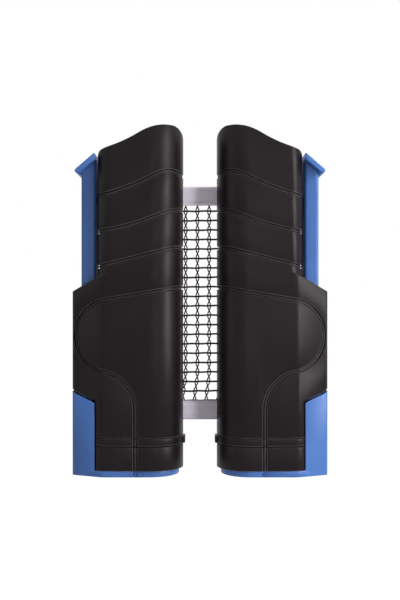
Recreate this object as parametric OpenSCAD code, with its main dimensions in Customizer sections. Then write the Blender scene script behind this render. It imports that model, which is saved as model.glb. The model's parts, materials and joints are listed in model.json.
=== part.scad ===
// Table tennis net clamps: two mirror-image posts with a retractable net.
// X runs along the net, Y runs from front to back and Z is up, with the origin on the
// floor midway between the posts. Everything is written for the right post, on the +X
// side, and the left post is its mirror image.

/* [Post] */
// Height of the housing above the net's upper edge
head_h = 37.5; // [30:0.5:50]
// Gap between the two posts when the net is wound in
post_gap = 22; // [16:1:40]
// Width of the upper housing, from the net side to the slider side
housing_w = 55; // [54:1:60]
// Extra width of the housing below the saddle
foot_extra_w = 3.5; // [2:0.5:4]
// Depth of the housing at the net roller
housing_d = 40; // [38:1:46]
// Angle at which the front and back close in towards the slider
face_taper = 2.5; // [1:0.5:3.5]
// Radius of the housing's two edges on the slider side
edge_r = 9; // [7:0.5:9.5]
// Thickness of the housing's walls
wall = 3; // [2.6:0.1:3.4]

/* [Crest] */
// Distance from the net side to the top of the crest
crest_flat = 9; // [7.5:0.5:11]
// Radius of the crest's hump
hump_r = 37; // [32:1:40]
// Steepest slope of the crest, between its hump and its hollow
steep_slope = 31; // [27:1:33]
// Radius of the crest's hollow
hollow_r = 90; // [75:5:100]
// Slope of the crest at the slider side
end_slope = 19; // [15:1:21]
// Rounding of the crest at the net side
crest_r = 7; // [5:0.5:8.5]
// Rounding of the crest at the slider side
crest_end_r = 4.5; // [4.5:0.1:5]

/* [Grip] */
// Distance from the crest's lower end to the first finger groove
groove_start = 29.4; // [27:0.2:32]
// Pitch of the finger grooves at the slider side
groove_pitch = 22.5; // [20:0.5:24]
// Width of a groove, which is a pair of fine channels with a rib between them
groove_w = 2.6; // [2.2:0.1:3.2]
// Depth of a groove
groove_depth = 1.2; // [0.9:0.1:1.5]
// Width of the rib
rib_w = 1; // [0.7:0.1:1.2]
// Depth of the rib's top below the surface
rib_drop = 0.5; // [0.2:0.1:0.7]
// Radius of the style line's outer bend, on the saddle
bulge_r = 23.2; // [19:0.2:24]
// Height of the centre of that bend
bulge_z = 90; // [86:1:92]
// Radius of the style line's lower bend
sweep_r = 24.6; // [20:0.2:28]
// Distance of the style line's straight drop from the net side
line_drop = 30.3; // [28:0.1:32]

/* [Saddle] */
// Lowest edge of the saddle that wraps round the slider
saddle_bottom = 49.5; // [46:0.5:54]
// Highest edge of the saddle
saddle_top = 127.5; // [124:0.5:130]
// Reach of the saddle beyond the upper housing
saddle_reach = 16.5; // [15:0.5:19]

/* [Clamp] */
// Thickness of the slider's bar
bar_t = 9.5; // [8:0.5:10]
// Depth of the slider's bar
bar_d = 19; // [16:1:20]
// Running gap round the slider
slide_gap = 0.6; // [0.4:0.1:0.8]
// Gap between the slider's bar and the upper housing
bar_gap = 1.4; // [1:0.1:1.8]
// Thickness of the base plate
base_t = 4; // [3:0.5:5]
// Height of the lower jaw above the base plate
jaw_h = 15.2; // [12:0.2:16]
// Height of the jaw collar
collar_h = 4.6; // [4.2:0.2:5.4]
// Thickness of the jaw pads
pad_t = 2; // [1.5:0.1:2.4]
// Opening of the jaw, which is the travel of the slider
jaw_travel = 45; // [30:1:46]
// Depth of the thumb flange
flange_d = 36; // [24:1:38]

/* [Net] */
// Height of the net with its tapes
net_h = 153; // [148:1:154]
// Height of the net's lower edge
net_z = 34.5; // [34:0.5:37]
// Width of each tape
tape_w = 12.5; // [10:0.5:15]
// Thickness of a tape folded round the net
tape_t = 1.6; // [1.2:0.1:1.8]
// Number of cells between the tapes
net_rows = 20; // [16:1:24]
// Distance between the net's upright strands
cell_w = 7.7; // [6.5:0.1:9]
// Thickness of a strand
strand_t = 0.8; // [0.6:0.1:1]

/* [Roller] */
// Diameter of the roller's axle
axle_d = 4; // [3:0.5:5]
// Outer diameter of the roller
roller_d = 13; // [11.6:0.2:14]
// Wall of the roller
roller_wall = 1.9; // [1.4:0.1:2]
// Diameter of the wound net
roll_d = 25; // [20:1:28]

/* [Springs] */
// Wire of the clamp spring
clamp_wire = 1.2; // [0.8:0.1:1.4]
// Mean diameter of the clamp spring
clamp_coil_d = 8; // [7:0.5:8.5]
// Turns of the clamp spring
clamp_turns = 16; // [10:1:20]
// Wire of the rewind spring
rewind_wire = 0.8; // [0.5:0.1:0.8]
// Turns of the rewind spring
rewind_turns = 18; // [8:1:20]

/* [Hidden] */
$fn = 64;

black = "#232022";
blue = "#2f64ae";
rubber = "#3a3a3c";
steel = "#b4b8bc";
nylon = "#e4e2da";
tape_colour = "#c9c3cf";

seam = 0.05;
far = 400;

// Places along X
net_side = post_gap / 2;
slider_side = net_side + housing_w;
roller_x = net_side + housing_d / 2;
upper_edge_x = slider_side - edge_r;
foot_edge_x = upper_edge_x + foot_extra_w;
saddle_edge_r = 2.5;
saddle_x = slider_side + saddle_reach - saddle_edge_r;
bar_x = slider_side + bar_gap;
bar_end = bar_x + bar_t;

// Half depths of the sections
function edge_y(x, r) = (housing_d / 2 - r) / cos(face_taper) - (x - roller_x) * tan(face_taper);
saddle_y = bar_d / 2 - 0.9;

// Heights
jaw_z = base_t + jaw_h;
jaw_rest_gap = 0.7;
pad_rest_gap = 0.3;
collar_z = jaw_z + jaw_rest_gap;
collar_top = collar_z + collar_h;
shadow_gap = 0.5;
housing_z = collar_top + shadow_gap;
floor_t = 3;
floor_z = housing_z + floor_t;
step_z = (saddle_top + saddle_bottom) / 2;
net_top = net_z + net_h;
post_h = net_top + head_h;
bulkhead_t = 3.3;
bush_flange_t = 1.5;
roller_over = 2.4;
roller_z = net_z - roller_over;
roller_top = net_top + roller_over;
run_gap = 0.3;
lower_flange_z = roller_z - run_gap - bush_flange_t;
upper_flange_top = roller_top + run_gap + bush_flange_t;

// ---------- Outlines ----------

// Smallest outline round circles [x, y, r], listed anticlockwise, with true arcs.
function tangent_points(a, b) =
  let(d = [b[0] - a[0], b[1] - a[1]],
      len = norm(d),
      along = d / len,
      right = [along[1], -along[0]],
      k = (a[2] - b[2]) / len,
      n = right * sqrt(1 - k * k) + along * k)
  [[a[0], a[1]] + n * a[2], [b[0], b[1]] + n * b[2]];

module round_outline(circles) {
  count = len(circles);
  polygon([for (i = [0 : count - 1]) each tangent_points(circles[i], circles[(i + 1) % count])]);
  for (c = circles)
    translate([c[0], c[1]]) circle(r = c[2]);
}

// Sections through the housing, grown by g or shrunk where g is negative.
module body_section(x, g = 0) {
  y = edge_y(x, edge_r);
  round_outline([[roller_x, 0, housing_d / 2 + g], [x, -y, edge_r + g], [x, y, edge_r + g]]);
}

module upper_section(g = 0) body_section(upper_edge_x, g);

module foot_section(g = 0) body_section(foot_edge_x, g);

module saddle_section(g = 0) {
  y = edge_y(foot_edge_x, edge_r);
  round_outline([[roller_x, 0, housing_d / 2 + g], [foot_edge_x, -y, edge_r + g],
                 [saddle_x, -saddle_y, saddle_edge_r + g], [saddle_x, saddle_y, saddle_edge_r + g],
                 [foot_edge_x, y, edge_r + g]]);
}

module bar_section(g = 0) {
  r = 2;
  x0 = bar_x + r;
  x1 = bar_end - r;
  y = bar_d / 2 - r;
  round_outline([[x0, -y, r + g], [x1, -y, r + g], [x1, y, r + g], [x0, y, r + g]]);
}

// A flat outline drawn in X and Z, run through the whole depth.
module through(d = far) rotate([90, 0, 0]) linear_extrude(d, center = true) children();

// The crest, seen from the front: a rounded corner, a hump, a hollow, a straight slope and
// a second corner, all tangent.
function off_line(angle) = [sin(angle), cos(angle)];
hump_at = [net_side + crest_flat, post_h - hump_r];
hollow_at = hump_at + (hump_r + hollow_r) * off_line(steep_slope);
slope_at = hollow_at - hollow_r * off_line(end_slope);
function slope_z(x) = slope_at[1] - (x - slope_at[0]) * tan(end_slope);
crest_low = slope_z(slider_side);
corner_at = [net_side + crest_r, post_h - crest_r];
end_at = [slider_side - crest_end_r, slope_z(slider_side - crest_end_r) - crest_end_r / cos(end_slope)];

// Everything under the crest, with the crest moved in by drop. The shapes overlap by a little.
module crest_profile(drop = 0) {
  lap = 1;
  steepest = hump_at + (hump_r - drop) * off_line(steep_slope);
  slope_start = slope_at - drop * off_line(end_slope);
  slope_end = end_at + (crest_end_r - drop) * off_line(end_slope);
  low = end_at[1] - lap;
  translate([-far, 0]) square([2 * far, end_at[1]]);
  translate([-far, low]) square([far + hump_at[0], corner_at[1] - low]);
  translate(corner_at) circle(r = crest_r - drop);
  translate([corner_at[0], low]) square([crest_flat - crest_r, post_h - drop - low]);
  intersection() {
    translate(hump_at) circle(r = hump_r - drop);
    translate([hump_at[0] - lap, 0]) square(far);
  }
  difference() {
    polygon([[hump_at[0], low], [slope_start[0], low], slope_start, steepest, hump_at]);
    translate(hollow_at) circle(r = hollow_r + drop);
  }
  polygon([[slope_start[0] - lap, low], [slope_end[0], low], slope_end, slope_start,
           [slope_start[0] - lap, slope_start[1] - lap]]);
  translate(end_at) circle(r = crest_end_r - drop);
}

// ---------- Grip grooves and style line ----------

// Band of a given width round a line of points.
function direction(pts, i) =
  let(a = pts[max(0, i - 1)], b = pts[min(len(pts) - 1, i + 1)], d = b - a) d / norm(d);

function side_points(pts, off) = [for (i = [0 : len(pts) - 1])
  let(d = direction(pts, i)) pts[i] + off * [-d[1], d[0]]];

module band(pts, w) {
  upper = side_points(pts, w / 2);
  lower = side_points(pts, -w / 2);
  polygon(concat(upper, [for (i = [len(lower) - 1 : -1 : 0]) lower[i]]));
}

groove_steps = 16;
groove_over = 6;
groove_xs = [for (i = [0 : groove_steps]) net_side - groove_over
             + (housing_w + 2 * groove_over) * i / groove_steps];

function t_at(x) = (slider_side - x) / housing_w;

// A wavy line from the slider side (t = 0) to the net side (t = 1).
function wave(t, low, rise, hump, dip) = low + rise * t + hump * sin(180 * pow(t, 3)) - dip * sin(180 * t);

// Rise, hump and dip of the three finger grooves, from the top down.
groove_forms = [[14.4, 4.9, 0], [15, 1.5, 2], [13.2, 0.4, 0]];
finger_grooves = len(groove_forms);

function groove_points(i) =
  let(f = groove_forms[i], low = crest_low - groove_start - i * groove_pitch)
  [for (x = groove_xs) [x, wave(min(1, max(0, t_at(x))), low, f[0], f[1], f[2])]];

// The style line: a straight run, the bend on the saddle, the lower bend and a straight drop.
line_slope = 9.5;
bulge_x = saddle_x + saddle_edge_r - 2.2 - bulge_r;
drop_x = net_side + line_drop;
sweep_x = drop_x + sweep_r;
sweep_z = bulge_z - sqrt(pow(bulge_r + sweep_r, 2) - pow(sweep_x - bulge_x, 2));
meet_angle = atan2(sweep_z - bulge_z, sweep_x - bulge_x);
bulge_steps = 20;
sweep_steps = 12;
line_start = [bulge_x, bulge_z] + bulge_r * [sin(line_slope), cos(line_slope)];
line_run = (line_start[0] - net_side + groove_over) / cos(line_slope);
style_line = concat(
  [line_start + line_run * [-cos(line_slope), sin(line_slope)]],
  [for (i = [0 : bulge_steps])
    let(a = 90 - line_slope - (90 - line_slope - meet_angle) * i / bulge_steps)
    [bulge_x, bulge_z] + bulge_r * [cos(a), sin(a)]],
  [for (i = [1 : sweep_steps])
    let(start = meet_angle + 180, a = start + (180 - start) * i / sweep_steps)
    [sweep_x, sweep_z] + sweep_r * [cos(a), sin(a)]],
  [[drop_x, -1]]);

// What a groove takes out of a skin between two heights: its two channels, with the rib left
// standing between them. The children are a section outside the skin, one at the groove's
// floor and one at the rib's top.
module groove_cut(z0, z1, pts) {
  difference() {
    intersection() {
      translate([0, 0, z0])
        linear_extrude(z1 - z0)
          difference() {
            children(0);
            children(1);
          }
      through() band(pts, groove_w);
    }
    intersection() {
      translate([0, 0, z0 - 1]) linear_extrude(z1 - z0 + 2) children(2);
      through() band(pts, rib_w);
    }
  }
}

module grooves() {
  for (i = [0 : finger_grooves - 1])
    groove_cut(saddle_top - 6, post_h, groove_points(i)) {
      foot_section(1);
      upper_section(-groove_depth);
      upper_section(-rib_drop);
    }
  style_groove();
}

// The style line runs on the foot's section, and past the housing's edge on the saddle's.
module style_groove() {
  overlap = 0.4;
  difference() {
    groove_cut(-1, saddle_top, style_line) {
      foot_section(1);
      foot_section(-groove_depth);
      foot_section(-rib_drop);
    }
    translate([foot_edge_x + overlap, -far / 2, saddle_bottom + 2]) cube(far);
  }
  intersection() {
    groove_cut(saddle_bottom - 4, saddle_top + 4, style_line) {
      saddle_section(1);
      saddle_section(-groove_depth);
      saddle_section(-rib_drop);
    }
    translate([foot_edge_x, -far / 2, 0]) cube(far);
  }
}

// ---------- Housing ----------

saddle_shoulder = 8.2;
saddle_lip = 7;
module saddle_profile()
  polygon([[roller_x, step_z - 5], [foot_edge_x + 1.5, step_z - 5], [foot_edge_x + 1.5, saddle_bottom - 2.5],
           [foot_edge_x + edge_r, saddle_bottom],
           [saddle_x, saddle_bottom + saddle_lip - 2.6], [saddle_x + saddle_edge_r + 1, saddle_bottom + saddle_lip],
           [saddle_x + saddle_edge_r + 1, saddle_top - saddle_shoulder - 1.5],
           [saddle_x + 1, saddle_top - saddle_shoulder], [slider_side, saddle_top],
           [upper_edge_x, saddle_top + 4], [roller_x, saddle_top + 4]]);

module envelope() {
  difference() {
    union() {
      intersection() {
        translate([0, 0, step_z]) linear_extrude(post_h) upper_section();
        through() crest_profile();
      }
      translate([0, 0, housing_z]) linear_extrude(step_z - housing_z) foot_section();
      intersection() {
        translate([0, 0, housing_z]) linear_extrude(post_h) saddle_section();
        through() saddle_profile();
      }
    }
    grooves();
  }
}

chamber_x = roller_x + roll_d / 2 + 1.5;
rib_t = 1.8;
spring_x = (chamber_x + rib_t + slider_side - wall) / 2;
spring_z = floor_z + 37;
spring_seat_t = 3;
arm_z = net_top - 11.5;
arm_t = 5;
arm_d = 6;

module chambers() {
  intersection() {
    translate([0, 0, floor_z]) linear_extrude(post_h) upper_section(-wall);
    through() crest_profile(wall + 1);
  }
}

// Walls inside the housing: the bulkhead over the net, the wall between net and spring,
// and the shelf under the spring.
module inner_walls() {
  intersection() {
    translate([0, 0, floor_z - 1]) linear_extrude(upper_flange_top + bulkhead_t + 1 - floor_z) upper_section(-wall / 2);
    union() {
      translate([net_side, -housing_d, upper_flange_top]) cube([chamber_x - net_side + rib_t, 2 * housing_d, bulkhead_t]);
      translate([chamber_x, -housing_d, floor_z - 1])
        cube([rib_t, 2 * housing_d, upper_flange_top - floor_z + 1 + bulkhead_t]);
      translate([chamber_x, -housing_d, spring_z - spring_seat_t])
        cube([slider_side - chamber_x, 2 * housing_d, spring_seat_t]);
      translate([roller_x, 0, floor_z - 1]) cylinder(d = axle_d + 6, h = lower_flange_z - floor_z + 1);
    }
  }
}

// Screw places: [x, z] of each screw, all from behind.
screw_places = [[roller_x - 10, (upper_flange_top + bulkhead_t + post_h) / 2], [spring_x, crest_low - 8],
                [spring_x, floor_z + 7]];
screw_d = 3;
screw_head_d = 5.6;
screw_head_t = 2;
screw_reach = 12;
screw_seat = 11;
boss_d = 7;

module screw_bosses() {
  intersection() {
    for (s = screw_places)
      translate([s[0], 0, s[1]]) rotate([90, 0, 0]) cylinder(d = boss_d, h = housing_d, center = true);
    translate([0, 0, floor_z - 1]) linear_extrude(post_h) upper_section(-wall / 2);
    through() crest_profile(wall);
  }
}

module screw_holes() {
  for (s = screw_places)
    translate([s[0], 0, s[1]]) {
      rotate([90, 0, 0]) cylinder(d = screw_d + 0.1, h = screw_reach + 1);
      rotate([-90, 0, 0]) cylinder(d = screw_d + 0.4, h = far / 2);
      translate([0, screw_seat, 0]) rotate([-90, 0, 0]) cylinder(d = screw_head_d + 0.6, h = far / 2);
    }
}

// The slider's way through the housing, and the slot for its spring arm.
module slider_way() {
  translate([0, 0, -1]) linear_extrude(far) bar_section(slide_gap);
  translate([bar_x - slide_gap, -bar_d / 2 - slide_gap + 2, -1]) cube([2, bar_d + 2 * slide_gap - 4, far]);
  slot_low = arm_z - jaw_travel - 1;
  translate([spring_x, -arm_d / 2 - slide_gap, slot_low])
    cube([slider_side - spring_x + 1, arm_d + 2 * slide_gap, arm_z + arm_t + 1 - slot_low]);
}

slot_w = 3.2;
slot_margin = 1.5;
module net_slot() {
  translate([0, -slot_w / 2, net_z - slot_margin])
    cube([roller_x - roll_d / 2, slot_w, net_h + 2 * slot_margin]);
}

module axle_hole()
  translate([roller_x, 0, housing_z + 1]) cylinder(d = axle_d + 2 * seam, h = upper_flange_top + bulkhead_t - housing_z);

module housing() {
  difference() {
    union() {
      difference() {
        envelope();
        chambers();
      }
      inner_walls();
      screw_bosses();
    }
    slider_way();
    net_slot();
    axle_hole();
    screw_holes();
  }
}

module front_shell() {
  color(black) intersection() {
    housing();
    translate([0, -far, 0]) cube([far, far, far]);
  }
}

module rear_shell() {
  color(black) intersection() {
    housing();
    cube([far, far, far]);
  }
}

// ---------- Jaws ----------

pad_inset = 5;
module pad_section(g = 0) intersection() {
  foot_section(-pad_inset + g);
  translate([0, -far / 2]) square([bar_x - 4 + g, far]);
}

lip_reach = 1.3;
lip_d = 10;
module jaw_collar() {
  color(black) difference() {
    union() {
      translate([0, 0, collar_z]) linear_extrude(collar_h) foot_section();
      translate([0, 0, collar_z]) linear_extrude(collar_h + shadow_gap) foot_section(-1.5);
      translate([0, 0, collar_z])
        linear_extrude(collar_h)
          round_outline([[net_side - lip_reach + 1, -lip_d / 2 + 1, 1], [roller_x, -lip_d / 2 + 1, 1],
                         [roller_x, lip_d / 2 - 1, 1], [net_side - lip_reach + 1, lip_d / 2 - 1, 1]]);
    }
    slider_way();
    style_groove();
    translate([0, 0, collar_z - 1]) linear_extrude(1 + pad_t - jaw_rest_gap + pad_rest_gap + 0.2) pad_section();
  }
}

module upper_jaw_pad()
  color(rubber) translate([0, 0, collar_z - jaw_rest_gap + pad_rest_gap + 0.2])
    linear_extrude(pad_t) pad_section(-seam);

pad_recess = pad_t - 0.2;
module lower_jaw() {
  corner = 3;
  color(black) difference() {
    union() {
      translate([0, 0, base_t + corner]) linear_extrude(jaw_h - corner) foot_section();
      // rounded lower edge
      for (i = [0 : 3]) {
        a = 90 * (i + 0.5) / 4;
        translate([0, 0, base_t + corner * (1 - sin(90 * (i + 1) / 4))])
          linear_extrude(jaw_h / 2) foot_section(-corner * (1 - cos(90 * (3 - i) / 4)) * 0.8);
      }
    }
    translate([0, 0, 0]) linear_extrude(far) bar_section(seam);
    translate([bar_x - seam, -bar_d / 2 + 2, 0]) cube([20, bar_d - 4, far]);
    style_groove();
    translate([0, 0, jaw_z - pad_recess]) linear_extrude(far) pad_section();
  }
}

module lower_jaw_pad()
  color(rubber) translate([0, 0, jaw_z - pad_recess]) linear_extrude(pad_t) pad_section(-seam);

// ---------- Clamp slider ----------

flange_t = 3;
flange_slope = 46;
flange_z = crest_low - 1.2;
flange_reach = 2.6;
block_gap = 1.3;

module block_profile()
  polygon([[bar_x, 0], [far, 0], [far, saddle_bottom + saddle_lip - block_gap],
           [saddle_x + saddle_edge_r + 1, saddle_bottom + saddle_lip - block_gap],
           [saddle_x, saddle_bottom + saddle_lip - 2.6 - block_gap],
           [foot_edge_x + edge_r, saddle_bottom - block_gap], [bar_x, saddle_bottom - block_gap - 1]]);

base_inset = 2.7;
module base_section() {
  r = housing_d / 2 - base_inset / 2;
  y = edge_y(foot_edge_x, edge_r);
  round_outline([[net_side + base_inset + r, 0, r], [foot_edge_x, -y, edge_r], [saddle_x, -saddle_y, saddle_edge_r],
                 [saddle_x, saddle_y, saddle_edge_r], [foot_edge_x, y, edge_r]]);
}

module thumb_flange() {
  tip = [bar_end + flange_reach, flange_z - (bar_t + flange_reach - 1) * tan(flange_slope) + 1];
  root = [bar_x, flange_z];
  n = [-sin(flange_slope), -cos(flange_slope)];
  through(flange_d)
    union() {
      polygon([root, tip, tip + n * flange_t, root + [0, -flange_t * 1.5]]);
      translate(tip + n * flange_t / 2) circle(d = flange_t);
    }
}

module clamp_slider() {
  color(blue) union() {
    difference() {
      union() {
        linear_extrude(base_t) base_section();
        intersection() {
          linear_extrude(saddle_bottom + saddle_lip)
            difference() {
              saddle_section();
              foot_section(0.4);
            }
          through() block_profile();
        }
      }
      style_groove();
    }
    intersection() {
      linear_extrude(post_h) bar_section();
      through() polygon([[bar_x - 1, 0], [bar_x - 1, flange_z - 1], [bar_x, flange_z - 1],
                         [bar_end + 1, flange_z - 1 - (bar_t + 1) * tan(flange_slope)], [bar_end + 1, 0]]);
    }
    thumb_flange();
    // arm over the spring, with the peg that centres it
    translate([spring_x - 4, -arm_d / 2, arm_z]) cube([bar_x - spring_x + 5, arm_d, arm_t]);
    translate([spring_x, 0, arm_z - 7]) cylinder(d = clamp_coil_d - clamp_wire - 1.2, h = 8);
  }
}

// ---------- Springs, roller and net roll ----------

// Round wire wound into an open coil along Z, with flattened pitch at neither end.
module coil(d, wire, turns, h, hand = 1) {
  rings = 8;
  sides = 6;
  steps = rings * turns;
  pitch = (h - wire) / turns;
  climb = atan(pitch / (PI * d));
  pts = [for (i = [0 : steps])
    let(a = hand * 360 * i / rings, c = [d / 2 * cos(a), d / 2 * sin(a), wire / 2 + pitch * i / rings])
    for (j = [0 : sides - 1])
      let(b = 360 * j / sides, u = wire / 2 * cos(b), v = wire / 2 * sin(b))
      c + u * [cos(a), sin(a), 0] + v * [hand * sin(a) * sin(climb), -hand * cos(a) * sin(climb), cos(climb)]];
  walls = [for (i = [0 : steps - 1], j = [0 : sides - 1])
    let(p = i * sides + j, q = i * sides + (j + 1) % sides, r = q + sides, s = p + sides)
    each hand > 0 ? [[p, q, r], [p, r, s]] : [[p, r, q], [p, s, r]]];
  start = [for (j = [1 : sides - 2]) hand > 0 ? [0, j + 1, j] : [0, j, j + 1]];
  last = steps * sides;
  end = [for (j = [1 : sides - 2]) hand > 0 ? [last, last + j, last + j + 1] : [last, last + j + 1, last + j]];
  polyhedron(pts, concat(walls, start, end));
}

module clamp_spring()
  color(steel) translate([spring_x, 0, spring_z])
    coil(clamp_coil_d, clamp_wire, clamp_turns, arm_z - spring_z);

module roller_axle()
  color(steel) translate([roller_x, 0, housing_z + 1])
    cylinder(d = axle_d, h = upper_flange_top + bulkhead_t - housing_z - 1);

roller_bore = roller_d - 2 * roller_wall;
bush_reach = 8;
module bush(z, flip) {
  color(nylon) translate([roller_x, 0, z]) mirror([0, 0, flip])
    difference() {
      union() {
        cylinder(d = roller_d, h = bush_flange_t);
        cylinder(d = roller_bore - 2 * seam, h = bush_flange_t + run_gap + bush_reach);
      }
      translate([0, 0, -1]) cylinder(d = axle_d + 2 * seam, h = 2 * bush_reach + 10);
    }
}

module lower_bush() bush(lower_flange_z, 0);

module upper_bush() bush(upper_flange_top, 1);

module net_roller()
  color(nylon) translate([roller_x, 0, roller_z])
    difference() {
      cylinder(d = roller_d, h = roller_top - roller_z);
      translate([0, 0, -1]) cylinder(d = roller_bore, h = far);
    }

module rewind_spring() {
  low = lower_flange_z + bush_flange_t + run_gap + bush_reach;
  high = upper_flange_top - bush_flange_t - run_gap - bush_reach;
  color(steel) translate([roller_x, 0, low])
    coil((axle_d + roller_bore) / 2, rewind_wire, rewind_turns, high - low);
}

module net_roll()
  color(black) translate([roller_x, 0, net_z])
    difference() {
      cylinder(d = roll_d, h = net_h);
      translate([0, 0, -1]) cylinder(d = roller_d + 2 * seam, h = far);
    }

module shell_screws()
  color(steel) for (s = screw_places)
    translate([s[0], 0, s[1]]) {
      translate([0, screw_seat, 0]) rotate([90, 0, 0]) cylinder(d = screw_d, h = screw_seat + screw_reach);
      translate([0, screw_seat, 0]) rotate([-90, 0, 0]) cylinder(d = screw_head_d, h = screw_head_t);
    }

// ---------- Net ----------

net_end = roller_x - roll_d / 2 - 0.3;
mesh_h = net_h - 2 * tape_w;
mesh_z = net_z + tape_w;

module net_tape(z)
  color(tape_colour) translate([-net_end, -tape_t / 2, z]) cube([2 * net_end, tape_t, tape_w]);

module net_top_tape() net_tape(net_top - tape_w);

module net_bottom_tape() net_tape(net_z);

module net_mesh() {
  cell_h = mesh_h / net_rows;
  columns = floor(net_end / cell_w);
  color(black) union() {
    for (i = [-columns : columns])
      translate([i * cell_w - strand_t * 0.7, -strand_t / 2, mesh_z]) cube([strand_t * 1.4, strand_t, mesh_h]);
    for (j = [0 : net_rows])
      let(z = min(max(mesh_z, mesh_z + j * cell_h - strand_t / 2), mesh_z + mesh_h - strand_t))
      translate([-net_end, -strand_t / 2, z]) cube([2 * net_end, strand_t, strand_t]);
  }
}

module left() mirror([1, 0, 0]) children();

left() front_shell();  // left_front_shell
left() rear_shell();  // left_rear_shell
left() jaw_collar();  // left_jaw_collar
left() upper_jaw_pad();  // left_upper_jaw_pad
left() clamp_slider();  // left_clamp_slider
left() lower_jaw();  // left_lower_jaw
left() lower_jaw_pad();  // left_lower_jaw_pad
left() clamp_spring();  // left_clamp_spring
left() roller_axle();  // left_roller_axle
left() lower_bush();  // left_lower_bush
left() upper_bush();  // left_upper_bush
left() net_roller();  // left_net_roller
left() rewind_spring();  // left_rewind_spring
left() net_roll();  // left_net_roll
left() shell_screws();  // left_shell_screws
front_shell();  // right_front_shell
rear_shell();  // right_rear_shell
jaw_collar();  // right_jaw_collar
upper_jaw_pad();  // right_upper_jaw_pad
clamp_slider();  // right_clamp_slider
lower_jaw();  // right_lower_jaw
lower_jaw_pad();  // right_lower_jaw_pad
clamp_spring();  // right_clamp_spring
roller_axle();  // right_roller_axle
lower_bush();  // right_lower_bush
upper_bush();  // right_upper_bush
net_roller();  // right_net_roller
rewind_spring();  // right_rewind_spring
net_roll();  // right_net_roll
shell_screws();  // right_shell_screws
net_mesh();
net_top_tape();
net_bottom_tape();
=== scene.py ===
"""Looks of a pair of table tennis net posts with a retractable net."""

import json
import math

import bpy
import numpy as np
from mathutils import Matrix, Vector
from mathutils.bvhtree import BVHTree


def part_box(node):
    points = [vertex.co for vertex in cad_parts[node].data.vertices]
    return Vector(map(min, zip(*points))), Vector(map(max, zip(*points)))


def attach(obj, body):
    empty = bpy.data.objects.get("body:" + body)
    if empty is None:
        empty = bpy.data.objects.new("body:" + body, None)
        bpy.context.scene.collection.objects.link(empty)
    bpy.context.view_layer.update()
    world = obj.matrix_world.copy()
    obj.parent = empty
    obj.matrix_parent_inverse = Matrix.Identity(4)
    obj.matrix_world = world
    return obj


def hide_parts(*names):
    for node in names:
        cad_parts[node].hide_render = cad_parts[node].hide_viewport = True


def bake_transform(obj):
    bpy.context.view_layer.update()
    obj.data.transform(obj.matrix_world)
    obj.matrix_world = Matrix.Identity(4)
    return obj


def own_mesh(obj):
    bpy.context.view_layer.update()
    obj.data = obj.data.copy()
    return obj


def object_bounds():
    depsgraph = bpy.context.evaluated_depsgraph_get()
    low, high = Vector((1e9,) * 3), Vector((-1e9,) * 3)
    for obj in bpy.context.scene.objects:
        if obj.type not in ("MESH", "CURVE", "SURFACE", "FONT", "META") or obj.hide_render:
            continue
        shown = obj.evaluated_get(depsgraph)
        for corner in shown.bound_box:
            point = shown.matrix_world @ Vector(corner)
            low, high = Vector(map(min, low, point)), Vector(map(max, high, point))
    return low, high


bl_info = {
    "name": "Net Post Pair",
    "version": (1, 0, 0),
    "blender": (4, 5, 0),
    "location": "View3D > Sidebar > Net Posts",
    "description": "Dresses a pair of table tennis net posts and their net",
    "category": "Object",
}

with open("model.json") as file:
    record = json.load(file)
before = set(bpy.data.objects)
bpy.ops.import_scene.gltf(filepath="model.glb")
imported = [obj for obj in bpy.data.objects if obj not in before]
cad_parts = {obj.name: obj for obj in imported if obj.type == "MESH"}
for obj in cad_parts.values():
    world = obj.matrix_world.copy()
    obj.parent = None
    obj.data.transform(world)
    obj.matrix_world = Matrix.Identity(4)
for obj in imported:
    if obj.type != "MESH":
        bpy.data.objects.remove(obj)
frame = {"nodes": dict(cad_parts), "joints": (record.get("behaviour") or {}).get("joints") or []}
cad_low, cad_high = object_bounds()

MM = 0.001
# Points nearer than this are one
TINY = 1e-6
SIDES = (("left", -1), ("right", 1))


def joint_range(name):
    """The least and the greatest travel of a sliding joint."""
    return next(joint for joint in frame["joints"] if joint["name"] == name)["range_m"]


# Places taken from the frame
PULL = joint_range("net_pull")[1]
JAW_OPEN = joint_range("left_clamp_slide")[0]
NET_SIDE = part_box("right_front_shell")[0][0]
NET_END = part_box("net_mesh")[1][0]
NET_LOW, NET_HIGH = (corner[2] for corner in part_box("net_mesh"))
TAPE_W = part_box("net_top_tape")[1][2] - NET_HIGH

# Where the net comes out of the left post, a little inside its face
MOUTH_DEPTH = 0.8 * MM
MOUTH = -NET_SIDE - MOUTH_DEPTH


# ---------- Shader helpers ----------


class Value:
    """A socket that shader maths can be written on."""

    def __init__(self, nodes, socket):
        self.nodes = nodes
        self.socket = socket

    def _math(self, operation, *values):
        return self.nodes.node("ShaderNodeMath", {"operation": operation}, *values)

    def __add__(self, other):
        return self._math("ADD", self, other)

    def __radd__(self, other):
        return self._math("ADD", other, self)

    def __sub__(self, other):
        return self._math("SUBTRACT", self, other)

    def __rsub__(self, other):
        return self._math("SUBTRACT", other, self)

    def __mul__(self, other):
        return self._math("MULTIPLY", self, other)

    def __rmul__(self, other):
        return self._math("MULTIPLY", other, self)


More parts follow.
